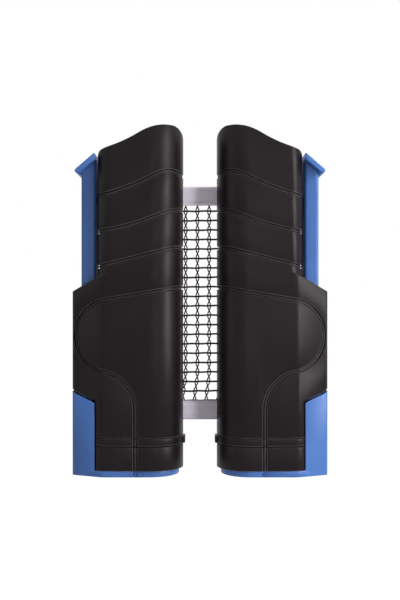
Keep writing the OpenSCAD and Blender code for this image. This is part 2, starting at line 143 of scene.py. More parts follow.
class Nodes:
    """The nodes of a finish or of the world, under construction."""

    # Places of the Mix node's sockets for colours
    MIX_FACTOR, MIX_A, MIX_B, MIX_RESULT = 0, 6, 7, 2

    def __init__(self, owner, output):
        owner.use_nodes = True
        self.tree = owner.node_tree
        self.tree.nodes.clear()
        self.output = self.tree.nodes.new(output)

    def node(self, kind, settings=None, *values, out=0, **named):
        """Any node, from its type, its settings and the values or links of its sockets."""
        made = self.tree.nodes.new(kind)
        for key, value in (settings or {}).items():
            setattr(made, key, value)
        for i, value in enumerate(values):
            self.plug(made.inputs[i], value)
        for key, value in named.items():
            self.plug(made.inputs[key.replace("_", " ")], value)
        return Value(self, made.outputs[out])

    def plug(self, socket, value):
        """Link a socket to a value, or write a number or a colour on it."""
        if isinstance(value, Value):
            self.tree.links.new(value.socket, socket)
        else:
            socket.default_value = value

    def surface(self, shader):
        self.plug(self.output.inputs["Surface"], shader)

    def shown(self):
        """1 on what the camera sees straight, mirrored or through glass, and 0 on what only lights."""
        seen = self.node("ShaderNodeLightPath", out="Is Camera Ray")
        for way in ("Is Glossy Ray", "Is Transmission Ray"):
            ray = self.node("ShaderNodeLightPath", out=way)
            seen = self.node("ShaderNodeMath", {"operation": "MAXIMUM"}, seen, ray)
        return seen

    def place(self, scale=(1, 1, 1)):
        """Places on the object, for a pattern with this scale along each axis."""
        where = self.node("ShaderNodeTexCoord", out="Object")
        return self.node("ShaderNodeMapping", {}, where, Scale=scale)

    def noise(self, place, scale=1, detail=2, rough=0.5):
        return self.node("ShaderNodeTexNoise", Vector=place, Scale=scale, Detail=detail, Roughness=rough)

    def bands(self, place, way, scale, wobble):
        """Waves across a cord or a cloth."""
        settings = {"wave_type": "BANDS", "bands_direction": way}
        return self.node("ShaderNodeTexWave", settings, Vector=place, Scale=scale, Distortion=wobble)

    def mix(self, factor, a, b):
        """A colour between a and b."""
        made = self.tree.nodes.new("ShaderNodeMix")
        made.data_type = "RGBA"
        for place, value in ((self.MIX_FACTOR, factor), (self.MIX_A, a), (self.MIX_B, b)):
            self.plug(made.inputs[place], value)
        return Value(self, made.outputs[self.MIX_RESULT])

    def span(self, value, low, high, to_low=0.0, to_high=1.0):
        """Stretch the span of a value from low to high over the span from to_low to to_high."""
        return self.node("ShaderNodeMapRange", {}, value, low, high, to_low, to_high)

    def bump(self, height, strength, distance):
        return self.node("ShaderNodeBump", Strength=strength, Distance=distance, Height=height)


class Finish(Nodes):
    """A material under construction."""

    def __init__(self, name):
        self.material = bpy.data.materials.new(name)
        super().__init__(self.material, "ShaderNodeOutputMaterial")

    def shade(self, **sockets):
        self.surface(self.node("ShaderNodeBsdfPrincipled", **sockets))


def colour(c, k=1.0):
    """A colour for a socket, k times as light."""
    return (c[0] * k, c[1] * k, c[2] * k, 1.0)


# ---------- Finishes ----------


def moulded(name, base, rough, shine, grain=0.3, rubbed=None):
    """Satin moulded plastic with a fine grain, a few light scuffs, and a painted highlight that makes the
    rounded edges paler, mottled in patches and a little glossier like wear.
    """
    f = Finish(name)
    where = f.place()
    patches = f.noise(where, scale=38, detail=3)
    fine = f.noise(where, scale=2600, rough=0.6)
    pitted = f.noise(where, scale=900, detail=3, rough=0.6)
    scuffs = f.noise(f.place((900, 420, 60)), detail=4, rough=0.7)
    # Painted highlight: the marked rounded edges are made paler, as where light catches them; patches
    # mottle it, and the same mask makes them a little glossier like wear
    edges = f.node("ShaderNodeAttribute", {"attribute_name": "rubbed"}, out="Fac")
    highlight_and_wear = edges * f.span(patches, 0.2, 0.6, to_low=0.6)
    tint = f.mix(f.span(patches, 0.35, 0.7), colour(base, 0.88), colour(base, 1.14))
    roughness = f.span(patches * 0.6 + pitted * 0.4, 0.3, 0.7, rough - 0.05, rough + 0.06)
    f.shade(
        Base_Color=f.mix(highlight_and_wear, tint, colour(rubbed or base)),
        Roughness=roughness - f.span(scuffs, 0.66, 0.8, to_high=0.12) - highlight_and_wear * 0.06,
        Specular_IOR_Level=shine,
        Normal=f.bump(fine * 0.6 + pitted * 0.4, strength=grain, distance=0.06 * MM),
    )


def rubber_finish(base):
    """Dull rubber with a pebbled skin."""
    f = Finish("jaw_rubber")
    where = f.place()
    smoothed = {"feature": "SMOOTH_F1"}
    pebbles = f.node("ShaderNodeTexVoronoi", smoothed, Vector=where, Scale=1100, Smoothness=0.6)
    dust = f.noise(where, scale=120, detail=4, rough=0.6)
    f.shade(
        Base_Color=f.mix(f.span(dust, 0.45, 0.75), colour(base), colour(base, 1.8)),
        Roughness=f.span(dust, 0.3, 0.7, 0.74, 0.9),
        Specular_IOR_Level=0.3,
        Normal=f.bump(pebbles, strength=0.5, distance=0.15 * MM),
    )


def metal(name, base, rough, marks):
    """Bare metal with fine marks; marks is the scale of their pattern along each axis."""
    f = Finish(name)
    lines = f.noise(f.place(marks), detail=3, rough=0.6)
    stain = f.noise(f.place(), scale=160, detail=3, rough=0.6)
    f.shade(
        Base_Color=f.mix(f.span(stain, 0.4, 0.75), colour(base), colour(base, 0.72)),
        Metallic=1.0,
        Roughness=f.span(lines, 0.3, 0.7, rough - 0.07, rough + 0.1),
        Normal=f.bump(lines, strength=0.2, distance=0.04 * MM),
    )


def cord_finish(base):
    """Black twisted yarn with a little lint."""
    f = Finish("net_cord")
    where = f.place()
    twist = f.bands(where, "DIAGONAL", scale=620, wobble=2)
    lint = f.noise(where, scale=1500, detail=3, rough=0.6)
    f.shade(
        Base_Color=f.mix(f.span(lint, 0.45, 0.75), colour(base), colour(base, 3.2)),
        Roughness=f.span(lint, 0.3, 0.7, 0.68, 0.86),
        Specular_IOR_Level=0.2,
        Normal=f.bump(twist * 0.7 + lint * 0.3, strength=0.6, distance=0.12 * MM),
    )


def satin(f, tape):
    """Colour, height and streaks of a satin cloth woven along X."""
    where = f.place()
    streaks = f.noise(f.place((18, 60, 170)), detail=3)
    weave = f.bands(where, "Z", scale=900, wobble=1.5)
    picks = f.bands(where, "X", scale=420, wobble=2)
    tint = f.mix(f.span(streaks, 0.3, 0.7), colour(tape, 0.9), colour(tape, 1.06))
    return tint, weave * 0.6 + picks * 0.4, streaks


def tape_finish(tape):
    """The satin tapes along the net."""
    f = Finish("net_tape")
    tint, height, streaks = satin(f, tape)
    f.shade(
        Base_Color=tint,
        Roughness=f.span(streaks, 0.3, 0.7, 0.42, 0.56),
        Specular_IOR_Level=0.35,
        Sheen_Weight=0.15,
        Normal=f.bump(height, strength=0.35, distance=0.1 * MM),
    )


def roll_finish(cord, tape):
    """The wound net: pale tapes at both ends and dark netting between."""
    f = Finish("net_winding")
    tint, height, streaks = satin(f, tape)
    z = f.node("ShaderNodeSeparateXYZ", {}, f.place(), out="Z")
    middle, reach = (NET_LOW + NET_HIGH) / 2, (NET_HIGH - NET_LOW) / 2
    netting = f.node("ShaderNodeMath", {"operation": "COMPARE"}, z, middle, reach)
    f.shade(
        Base_Color=f.mix(netting, tint, colour(cord)),
        Roughness=f.span(streaks, 0.3, 0.7, 0.5, 0.7),
        Specular_IOR_Level=0.3,
        Normal=f.bump(height, strength=0.4, distance=0.1 * MM),
    )


# ---------- Settings ----------


def colour_property(name, description, default):
    return bpy.props.FloatVectorProperty(
        name=name, description=description, default=default, subtype="COLOR", size=3, min=0, max=1
    )


def length_property(name, description, default):
    return bpy.props.FloatProperty(
        name=name, description=description, default=default, subtype="DISTANCE", unit="LENGTH"
    )


class NetPostFinishes(bpy.types.PropertyGroup):
    """Colours of the posts and the net."""

    black: colour_property("Housing", "Moulded housing and jaws", (0.0085, 0.0052, 0.0063))
    # Colour of the painted highlight on the rounded edges of the housing and jaws
    rubbed: colour_property("Rubbed edges", "Rubbed edges of the housing and jaws", (0.17, 0.155, 0.16))
    blue: colour_property("Slider", "Clamp slider", (0.062, 0.165, 0.47))
    cord: colour_property("Net", "Knitted net", (0.007, 0.006, 0.007))
    tape: colour_property("Tape", "Tapes along the net", (0.83, 0.775, 0.87))
    rubber: colour_property("Pads", "Rubber pads in the jaws", (0.022, 0.021, 0.021))
    steel: colour_property("Steel", "Springs, axles and screws", (0.56, 0.55, 0.53))
    nylon: colour_property("Nylon", "Rollers and their plugs", (0.72, 0.7, 0.64))


class NetPostNet(bpy.types.PropertyGroup):
    """Sizes of the net."""

    cell_width: length_property("Cell width", "Distance between two pairs of uprights", 7.7 * MM)
    cell_height: length_property("Cell height", "Distance between two rows", 6.22 * MM)
    upright_width: length_property("Upright width", "Width of each cord of an upright pair", 0.94 * MM)
    row_width: length_property("Row width", "Width of the cord along a row", 1.36 * MM)


class NetPostStudio(bpy.types.PropertyGroup):
    """Place and lens of the camera."""

    distance: length_property("Camera distance", "Distance from the camera to the front of the posts", 0.55)
    height: length_property("Camera height", "Height of the camera above the closed clamps' feet", 0.113)
    pitch: bpy.props.FloatProperty(
        name="Camera pitch", description="Upward tilt", default=0, subtype="ANGLE", unit="ROTATION"
    )
    lens: bpy.props.FloatProperty(
        name="Focal length", description="Focal length in millimetres", default=52, unit="CAMERA"
    )


GROUPS = (
    ("net_post_finishes", NetPostFinishes),
    ("net_post_net", NetPostNet),
    ("net_post_studio", NetPostStudio),
)


# ---------- Modelling helpers ----------


def pick(*pieces):
    """Select these objects and nothing else; the first is active."""
    bpy.ops.object.select_all(action="DESELECT")
    for piece in pieces:
        piece.select_set(True)
    bpy.context.view_layer.objects.active = pieces[0]


def edit(piece, mode="VERT"):
    """Go into edit mode on one object with everything selected."""
    pick(piece)
    bpy.ops.object.mode_set(mode="EDIT")
    bpy.ops.mesh.select_mode(type=mode)
    bpy.ops.mesh.select_all(action="SELECT")


def done():
    bpy.ops.object.mode_set(mode="OBJECT")


def modify(piece, kind, **settings):
    """Add a modifier and apply it."""
    pick(piece)
    made = piece.modifiers.new(kind.lower(), kind)
    for key, value in settings.items():
        setattr(made, key, value)
    bpy.ops.object.modifier_apply(modifier=made.name)


def smooth(piece, degrees):
    """Shade smoothly across edges that bend less than this."""
    pick(piece)
    bpy.ops.object.shade_smooth_by_angle(angle=math.radians(degrees))


def give(piece, finish):
    piece.data.materials.clear()
    piece.data.materials.append(bpy.data.materials[finish])


def duplicate(piece, name):
    """A copy of a piece with its own mesh."""
    made = piece.copy()
    made.data = piece.data.copy()
    made.name = name
    bpy.context.collection.objects.link(made)
    return made


def twin(piece, name):
    """The mirror image of a left piece, for the right post."""
    made = duplicate(piece, name)
    made.data.transform(Matrix.Scale(-1, 4, (1, 0, 0)))
    made.data.flip_normals()
    return made


def points_of(piece):
    """The points of a piece, one row each."""
    co = np.empty(len(piece.data.vertices) * 3)
    piece.data.vertices.foreach_get("co", co)
    return co.reshape(-1, 3)


def move_points(piece, points):
    piece.data.vertices.foreach_set("co", points.ravel())
    piece.data.update()


def thicken(piece, cloth):
    """Give a sheet its wall."""
    modify(piece, "SOLIDIFY", thickness=cloth, offset=0)
    edit(piece)
    bpy.ops.mesh.normals_make_consistent(inside=False)
    done()
    smooth(piece, degrees=50)


# ---------- Mouldings ----------


class NETPOST_OT_mouldings(bpy.types.Operator):
    """Rounds the edges of the moulded parts"""

    bl_idname = "netpost.mouldings"
    bl_label = "Mouldings"

    # Each part, what it rides on, its finish and the width of its rounded edges
    MOULDINGS = (
        ("front_shell", "post", "moulded_black", 0.25 * MM),
        ("rear_shell", "post", "moulded_black", 0.25 * MM),
        ("jaw_collar", "post", "moulded_black", 0.3 * MM),
        ("lower_jaw", "clamp", "moulded_black", 0.3 * MM),
        ("clamp_slider", "clamp", "moulded_blue", 0.4 * MM),
        ("upper_jaw_pad", "post", "jaw_rubber", 0.3 * MM),
        ("lower_jaw_pad", "clamp", "jaw_rubber", 0.3 * MM),
    )
    SLOTS = {"moulded_black": "black_plastic", "moulded_blue": "blue_plastic", "jaw_rubber": "rubber"}

    # Faces that bend less than the first are one flat, and edges that bend more than the second are rounded
    FLAT_ANGLE = math.radians(0.3)
    EDGE_ANGLE = math.radians(28)
    EDGE_SEGMENTS = 2
    # The slots of a part's own faces and of those along its rounded edges
    OWN_FACES, EDGE_FACES = 0, 1
    # In widths of an edge: how far off the part a point has strayed, and how deep in it an outer edge lies
    STRAY = 0.9
    DEEP = 0.03
    # How strong the painted highlight is on an upright edge, and how much stronger on one that faces down,
    # as if lit from below
    RUBBED = 0.5
    RUBBED_BELOW = 0.7

    def execute(self, context):
        for part, body, finish, width in self.MOULDINGS:
            left = self.soften(frame["nodes"][f"left_{part}"], f"left_{part}_moulding", width)
            give(left, finish)
            right = twin(left, f"right_{part}_moulding")
            for side, piece in (("left", left), ("right", right)):
                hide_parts(f"{side}_{part}")
                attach(piece, f"{side}_{body}")
        return {"FINISHED"}

    def soften(self, part, name, width):
        """A copy of a part with its edges rounded."""
        faces = [face.vertices[:] for face in part.data.polygons]
        skin = BVHTree.FromPolygons([vertex.co for vertex in part.data.vertices], faces)
        piece = duplicate(part, name)
        self.flatten(piece)
        modify(
            piece, "BEVEL", width=width, segments=self.EDGE_SEGMENTS, limit_method="ANGLE",
            angle_limit=self.EDGE_ANGLE, use_clamp_overlap=False, miter_outer="MITER_ARC",
            harden_normals=False, material=self.EDGE_FACES,
        )
        for vertex in piece.data.vertices:
            place, _, _, gap = skin.find_nearest(vertex.co)
            if gap > self.STRAY * width:
                vertex.co = place
        self.rub(piece, skin, width)
        smooth(piece, degrees=40)
        return piece

    def flatten(self, piece):
        """Merge a part's loose triangles into flats, apart from those on the plane between the shells."""
        pick(piece)
        piece.data.materials.clear()
        for _ in (self.OWN_FACES, self.EDGE_FACES):
            piece.data.materials.append(None)
        bpy.ops.mesh.customdata_custom_splitnormals_clear()
        edit(piece, "FACE")
        bpy.ops.mesh.remove_doubles(threshold=TINY)
        done()
        for face in piece.data.polygons:
            face.select = abs(face.center.y) > TINY
        bpy.ops.object.mode_set(mode="EDIT")
        bpy.ops.mesh.dissolve_limited(angle_limit=self.FLAT_ANGLE)
        done()

    def rub(self, piece, skin, width):
        """Note how strongly each outer edge gets the painted highlight, stronger where it faces down, for
        its finish.
        """
        rubbed = piece.data.attributes.new("rubbed", "FLOAT", "FACE")
        for face in piece.data.polygons:
            if face.material_index == self.EDGE_FACES:
                place, _, _, gap = skin.find_nearest(face.center)
                inside = (place - face.center).dot(face.normal) > 0
                if inside and gap > self.DEEP * width:
                    # Painted highlight, stronger on edges that face down, as if light came from below
                    amount = self.RUBBED - self.RUBBED_BELOW * face.normal.z
                    rubbed.data[face.index].value = min(1, max(0, amount))
                face.material_index = self.OWN_FACES


# ---------- Screws and springs ----------


class NETPOST_OT_screws(bpy.types.Operator):
    """Turns the screws that hold the shells together, each with a cross recess"""

    bl_idname = "netpost.screws"
    bl_label = "Screws"

    # Radii of the head, the thread, the core and the point
    HEAD = 2.8 * MM
    THREAD = 1.5 * MM
    CORE = 1.15 * MM
    POINT = 0.3 * MM
    # Lengths along the screw
    POINT_LONG = 1.6 * MM
    PITCH = 1.3 * MM
    NECK_LONG = 4 * MM
    HEAD_TALL = 2 * MM
    # The cross recess
    SLOT_LONG = 3.2 * MM
    SLOT_WIDE = 0.75 * MM
    SLOT_DEEP = 1.3 * MM
    # Rings of one turn of the thread about its crest, and of the head above its seat, as place and radius
    TURN_RINGS = ((-0.5 * MM, CORE), (0, THREAD), (0.4 * MM, CORE))
    HEAD_RINGS = (
        (-0.2 * MM, CORE),
        (0, CORE + 0.2 * MM),
        (0, HEAD - 0.1 * MM),
        (0.3 * MM, HEAD),
        (1.1 * MM, HEAD - 0.1 * MM),
        (1.7 * MM, HEAD - 0.6 * MM),
        (HEAD_TALL, HEAD - 1.5 * MM),
    )
    # Corners of each ring
    CORNERS = 28

    def execute(self, context):
        for side, _ in SIDES:
            node = f"{side}_shell_screws"
            low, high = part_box(node)
            screws = [self.screw(x, z, low[1], high[1]) for x, z in self.places(frame["nodes"][node])]
            pick(*screws)
            bpy.ops.object.join()
            piece = bpy.context.object
            piece.name = f"{side}_cross_screws"
            give(piece, "plated_steel")
            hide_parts(node)
            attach(piece, f"{side}_post")
        return {"FINISHED"}

    def places(self, node):
        """The axis of each screw, from the part that stands for them."""
        left = np.array([vertex.co[:] for vertex in node.data.vertices])[:, (0, 2)]
        apart = 3 * self.HEAD
        found = []
        while len(left):
            near = np.linalg.norm(left - left[0], axis=1) < apart
            found.append((left[near].min(0) + left[near].max(0)) / 2)
            left = left[~near]
        return found

    def screw(self, x, z, tip, top):
        """One screw along Y, from its tip to the top of its head."""
        seat = top - self.HEAD_TALL
        core = tip + self.POINT_LONG
        rings = [(tip, self.POINT), (core, self.CORE)]
        for crest in np.arange(core + self.PITCH, seat - self.NECK_LONG, self.PITCH):
            rings += [(crest + step, radius) for step, radius in self.TURN_RINGS]
        rings += [(seat + step, radius) for step, radius in self.HEAD_RINGS]
        piece = self.turned(x, z, rings)
        for turn in (math.pi / 4, 3 * math.pi / 4):
            bpy.ops.object.select_all(action="DESELECT")
            bpy.ops.mesh.primitive_cube_add(
                size=1, location=(x, top, z), rotation=(0, turn, 0),
                scale=(self.SLOT_LONG, 2 * self.SLOT_DEEP, self.SLOT_WIDE),
            )
            cutter = bpy.context.object
            modify(piece, "BOOLEAN", operation="DIFFERENCE", object=cutter, solver="EXACT")
            bpy.data.objects.remove(cutter)
        smooth(piece, degrees=40)
        return piece

    def turned(self, x, z, rings):
        """A turned piece along Y, drawn out from a disc; a ring is its place on the axis and its radius."""
        place, radius = rings[0]
        bpy.ops.object.select_all(action="DESELECT")
        bpy.ops.mesh.primitive_circle_add(
            vertices=self.CORNERS, radius=radius, fill_type="NGON", location=(x, place, z),
            rotation=(math.pi / 2, 0, 0),
        )
        piece = bpy.context.object
        bpy.ops.object.transform_apply(location=True, rotation=True, scale=True)
        edit(piece, "FACE")
        for (y0, r0), (y1, r1) in zip(rings, rings[1:]):
            bpy.ops.mesh.extrude_region_move(TRANSFORM_OT_translate={"value": (0, y1 - y0, 0)})
            bpy.ops.transform.resize(value=(r1 / r0, 1, r1 / r0), center_override=(x, y1, z))
        bpy.ops.mesh.select_all(action="SELECT")
        bpy.ops.mesh.normals_make_consistent(inside=False)
        done()
        return piece


class NETPOST_OT_springs(bpy.types.Operator):
    """Coils the springs from round wire"""

    bl_idname = "netpost.springs"
    bl_label = "Springs"

    # Each spring, its wire and its turns
    SPRINGS = (("clamp_spring", 1.2 * MM, 16), ("rewind_spring", 0.8 * MM, 18))
    # Sides of the wire, and steps of a turn
    WIRE_SIDES = 8
    STEPS = 20

    def execute(self, context):
        for side, hand in SIDES:
            for part, wire, turns in self.SPRINGS:
                node = f"{side}_{part}"
                low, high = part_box(node)
                piece = self.coil(f"{node}_coil", low, high, wire, turns, hand)
                give(piece, "drawn_steel")
                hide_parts(node)
                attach(piece, f"{side}_post")
                if part == "clamp_spring":
                    length = high[2] - low[2]
                    keep = (length + JAW_OPEN) / length
                    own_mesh(piece)
        return {"FINISHED"}

    def coil(self, name, low, high, wire, turns, hand):
        """A helix of round wire in a box; hand is the way that it winds."""
        radius = (high[1] - low[1] - wire) / 2
        pitch = (high[2] - low[2] - wire) / turns
        bpy.ops.object.select_all(action="DESELECT")
        bpy.ops.mesh.primitive_circle_add(
            vertices=self.WIRE_SIDES, radius=wire / 2, location=(radius, 0, low[2] + wire / 2),
            rotation=(math.pi / 2, 0, 0),
        )
        piece = bpy.context.object
        piece.name = name
        bpy.ops.object.transform_apply(location=True, rotation=True, scale=True)
        modify(
            piece, "SCREW", axis="Z", angle=hand * 2 * math.pi, screw_offset=pitch, iterations=turns,
            steps=self.STEPS, render_steps=self.STEPS, use_merge_vertices=False,
        )
        edit(piece)
        bpy.ops.transform.translate(value=((low[0] + high[0]) / 2, 0, 0))
        bpy.ops.mesh.remove_doubles(threshold=TINY)
        bpy.ops.mesh.fill_holes(sides=self.WIRE_SIDES)
        bpy.ops.mesh.select_all(action="SELECT")
        bpy.ops.mesh.normals_make_consistent(inside=False)
        done()
        smooth(piece, degrees=60)
        return piece


# ---------- Net ----------

# Steps in which the gathering is worked out
GATHER_STEPS = 6000


def ease(t):
    """A step from 0 to 1 that starts and ends gently."""
    return t * t * (3 - 2 * t)


def gathered(x):
    """Where points of the drawn-out net lie at rest, most of them gathered inside the left post."""
    t = np.linspace(0, 1, GATHER_STEPS + 1)
    rest = -NET_END + (MOUTH + NET_END) * t
    drawn = rest + PULL * ease(t)
    return np.where(x > drawn[-1], x - PULL, np.interp(x, drawn, rest))


def across_net(piece):
    """Bake the place of a piece of the net into its mesh."""
    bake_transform(piece)


class Strands:
    """Closed tubes along paths in the net's plane, gathered into one mesh."""

    def __init__(self):
        self.points, self.faces, self.count = [], [], 0

    def add(self, x, y, z, wide, deep, sides):
        """One tube; wide and deep are half its sizes in and across the net's plane."""
        path = np.stack([x, z], 1)
        along = np.gradient(path, axis=0)
        along /= np.linalg.norm(along, axis=1)[:, None]
        across = np.stack([-along[:, 1], along[:, 0]], 1)
        turn = 2 * math.pi * (np.arange(sides) + 0.5) / sides
        c, s = np.cos(turn), np.sin(turn)
        ring = np.empty((len(x), sides, 3))
        ring[:, :, 0] = x[:, None] + wide * across[:, :1] * c
        ring[:, :, 1] = y[:, None] + deep * s
        ring[:, :, 2] = z[:, None] + wide * across[:, 1:] * c
        self.points.append(ring.reshape(-1, 3))
        base, last = self.count, self.count + (len(x) - 1) * sides
        for start in range(base, last, sides):
            for j in range(sides):
                a, b = start + j, start + (j + 1) % sides
                self.faces.append((a, a + sides, b + sides, b))
        self.faces.append(tuple(base + j for j in range(sides)))
        self.faces.append(tuple(last + j for j in reversed(range(sides))))
        self.count = last + sides

    def piece(self, name):
        """The tubes as one piece, at rest."""
        points = np.concatenate(self.points)
        points[:, 0] = gathered(points[:, 0])
        mesh = bpy.data.meshes.new(name)
        mesh.from_pydata(points.tolist(), [], self.faces)
        piece = bpy.data.objects.new(name, mesh)
        bpy.context.collection.objects.link(piece)
        for face in mesh.polygons:
            face.use_smooth = True
        return piece


class NETPOST_OT_net(bpy.types.Operator):
    """Knits the net: pairs of crossing uprights with a straight cord through each row"""

    bl_idname = "netpost.net"
    bl_label = "Net"

    # The rows, the first one's place below the top tape, and the columns' shift from the middle
    ROWS = 21
    FIRST_ROW = 3.6 * MM
    SHIFT = -1.7 * MM
    # How far a pair of uprights bows apart, and how far its cords pass before and behind each other
    SPREAD = 0.95 * MM
    PASS = 0.22 * MM
    # How far the uprights reach into the tapes
    TUCK = 0.6 * MM
    # How far the uprights hang to the left at the lower tape, and the height over which they do
    SWAY = 1.9 * MM
    SWAY_TALL = 19 * MM
    # The row cords' waves: how high, how long a radian is, radians from row to row, and the rows' slope
    WAVE = 0.1 * MM
    WAVE_LONG = 1.9 * MM
    WAVE_SHIFT = 2.1
    SLOPE = 0.012
    # Half thicknesses, sides and steps of the cords
    UPRIGHT_DEEP = 0.3 * MM
    ROW_DEEP = 0.4 * MM
    CORD_SIDES = 6
    UPRIGHT_STEPS = 12
    ROW_STEPS = 60
    # The uprights that the left post hides at rest: half width, half thickness, sides and steps
    HIDDEN_WIDE = 0.3 * MM
    HIDDEN_DEEP = 0.03 * MM
    HIDDEN_SIDES = 4
    HIDDEN_STEPS = 2

    def execute(self, context):
        sizes = context.scene.net_post_net
        knit = Strands()
        self.uprights(knit, sizes)
        self.rows(knit, sizes)
        piece = knit.piece("knitted_net")
        give(piece, "net_cord")
        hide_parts("net_mesh")
        across_net(piece)
        return {"FINISHED"}

    def uprights(self, knit, sizes):
        """Pairs of cords that bow apart and cross between the rows, from the right end to the left."""
        cell_w, cell_h = sizes.cell_width, sizes.cell_height
        first = PULL + self.SHIFT + cell_w * math.floor((NET_END - self.SHIFT) / cell_w)
        low, high = NET_LOW - self.TUCK, NET_HIGH + self.TUCK
        for x in np.arange(first, -NET_END, -cell_w):
            seen = x > PULL + MOUTH
            steps = self.UPRIGHT_STEPS if seen else self.HIDDEN_STEPS
            z = np.arange(high, low, -cell_h / steps)
            if seen:
                z = np.linspace(high, low, len(z))
            phase = math.pi * (NET_HIGH - self.FIRST_ROW - z) / cell_h
            for hand in (1, -1):
                side = x + hand * self.SPREAD * np.cos(phase) + self.sway(z)
                if seen:
                    front = hand * self.PASS * np.sin(phase)
                    knit.add(side, front, z, sizes.upright_width / 2, self.UPRIGHT_DEEP, self.CORD_SIDES)
                else:
                    knit.add(side, 0 * z, z, self.HIDDEN_WIDE, self.HIDDEN_DEEP, self.HIDDEN_SIDES)

    def rows(self, knit, sizes):
        """A cord along each row, in one long step through the left post and in short ones from there."""
        x = np.concatenate([[-NET_END], np.linspace(PULL + MOUTH, PULL + NET_END, self.ROW_STEPS)])
        rise = self.SLOPE * (x - PULL) * (x > PULL + MOUTH)
        for row in range(self.ROWS):
            height = NET_HIGH - self.FIRST_ROW - row * sizes.cell_height
            wave = self.WAVE * np.sin((x - PULL) / self.WAVE_LONG + self.WAVE_SHIFT * row)
            knit.add(x, 0 * x, height + wave + rise, sizes.row_width / 2, self.ROW_DEEP, self.CORD_SIDES)

    def sway(self, z):
        """How far the uprights hang to the left at a height."""
        return -self.SWAY * ease(np.clip((NET_LOW + self.SWAY_TALL - z) / self.SWAY_TALL, 0, 1))


class NETPOST_OT_tapes(bpy.types.Operator):
    """Folds a satin tape round each edge of the net and stitches it"""

    bl_idname = "netpost.tapes"
    bl_label = "Tapes"

    # Each tape, the part that it stands for, the net's edge in it and the way from there to its fold
    TAPES = (("top_tape", "net_top_tape", NET_HIGH, 1), ("bottom_tape", "net_bottom_tape", NET_LOW, -1))

    # The cloth, half the thickness of the fold and the room past it
    CLOTH = 0.24 * MM
    HALF_THICK = 0.42 * MM
    ROOM = 0.15 * MM
    STEPS_LONG = 60
    STEPS_ROUND = 30
    # The stitches pull the cloth in along a line beside its open edge
    STITCH_PLACE = 1.6 * MM
    STITCH_WIDE = 0.7 * MM
    STITCH_DEEP = 0.2 * MM
    # The cloth's waves along its length: how deep, how long a radian is, and the angle that they start at
    WAVE = 0.12 * MM
    WAVE_LONG = 5.3 * MM
    WAVE_START = 0.7

    def execute(self, context):
        for name, node, edge, way in self.TAPES:
            piece = self.fold(name, edge, way)
            give(piece, "net_tape")
            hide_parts(node)
            across_net(piece)
        return {"FINISHED"}

    def fold(self, name, edge, way):
        """A flat strip folded over the net's edge, with its wall given afterwards."""
        bpy.ops.object.select_all(action="DESELECT")
        bpy.ops.mesh.primitive_grid_add(
            x_subdivisions=self.STEPS_LONG, y_subdivisions=self.STEPS_ROUND, size=1
        )
        piece = bpy.context.object
        piece.name = name
        half = self.HALF_THICK
        reach = TAPE_W - half - self.ROOM
        bend = math.pi * half
        total = 2 * reach + bend
        points = points_of(piece)
        x = points[:, 0] * 2 * NET_END
        u = (points[:, 1] + 0.5) * total
        turn = np.clip((u - reach) / half, 0, math.pi)
        depth = np.where(u < reach, u, np.where(u > reach + bend, total - u, reach))
        stitch = np.exp(-(((depth - self.STITCH_PLACE) / self.STITCH_WIDE) ** 2)) * (depth < reach)
        wave = np.sin(x / self.WAVE_LONG + self.WAVE_START) * np.sin(np.clip(depth / reach, 0, 1) * math.pi)
        points[:, 0] = x
        points[:, 1] = -np.cos(turn) * (half - self.STITCH_DEEP * stitch) + self.WAVE * wave
        points[:, 2] = edge + way * (depth + half * np.sin(turn) * (depth >= reach))
        move_points(piece, points)
        thicken(piece, self.CLOTH)
        return piece


class NETPOST_OT_rolls(bpy.types.Operator):
    """Winds the rest of the net round each roller"""

    bl_idname = "netpost.rolls"
    bl_label = "Net rolls"

    TURNS = 14
    STEPS = 48
    STEPS_TALL = 6
    CLOTH = 0.28 * MM
    # Room between the cloth's middle and the outside of the roll, and the roller
    ROOM_OUT = 0.2 * MM
    ROOM_IN = 0.25 * MM

    def execute(self, context):
        for side, hand in SIDES:
            node, roller = f"{side}_net_roll", f"{side}_net_roller"
            low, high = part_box(node)
            outer = (high[0] - low[0]) / 2 - self.ROOM_OUT
            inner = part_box(roller)[1][1] + self.ROOM_IN
            piece = self.wind(f"{node}_winding", low, high, inner, outer, hand)
            give(piece, "net_winding")
            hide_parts(node)
            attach(piece, f"{side}_roller")
        return {"FINISHED"}

    def wind(self, name, low, high, inner, outer, hand):
        """A sheet wound from the roller outwards; hand is the way that it winds."""
        bpy.ops.object.select_all(action="DESELECT")
        bpy.ops.mesh.primitive_grid_add(
            x_subdivisions=self.TURNS * self.STEPS, y_subdivisions=self.STEPS_TALL, size=1
        )
        piece = bpy.context.object
        piece.name = name
        points = points_of(piece)
        share = points[:, 0] + 0.5
        radius = inner + (outer - inner) * share
        turn = hand * 2 * math.pi * self.TURNS * share
        centre = (low[0] + high[0]) / 2
        z = low[2] + (high[2] - low[2]) * (points[:, 1] + 0.5)
        move_points(piece, np.stack([centre + radius * np.cos(turn), radius * np.sin(turn), z], 1))
        thicken(piece, self.CLOTH)
        return piece


# ---------- Finishes of the pieces ----------


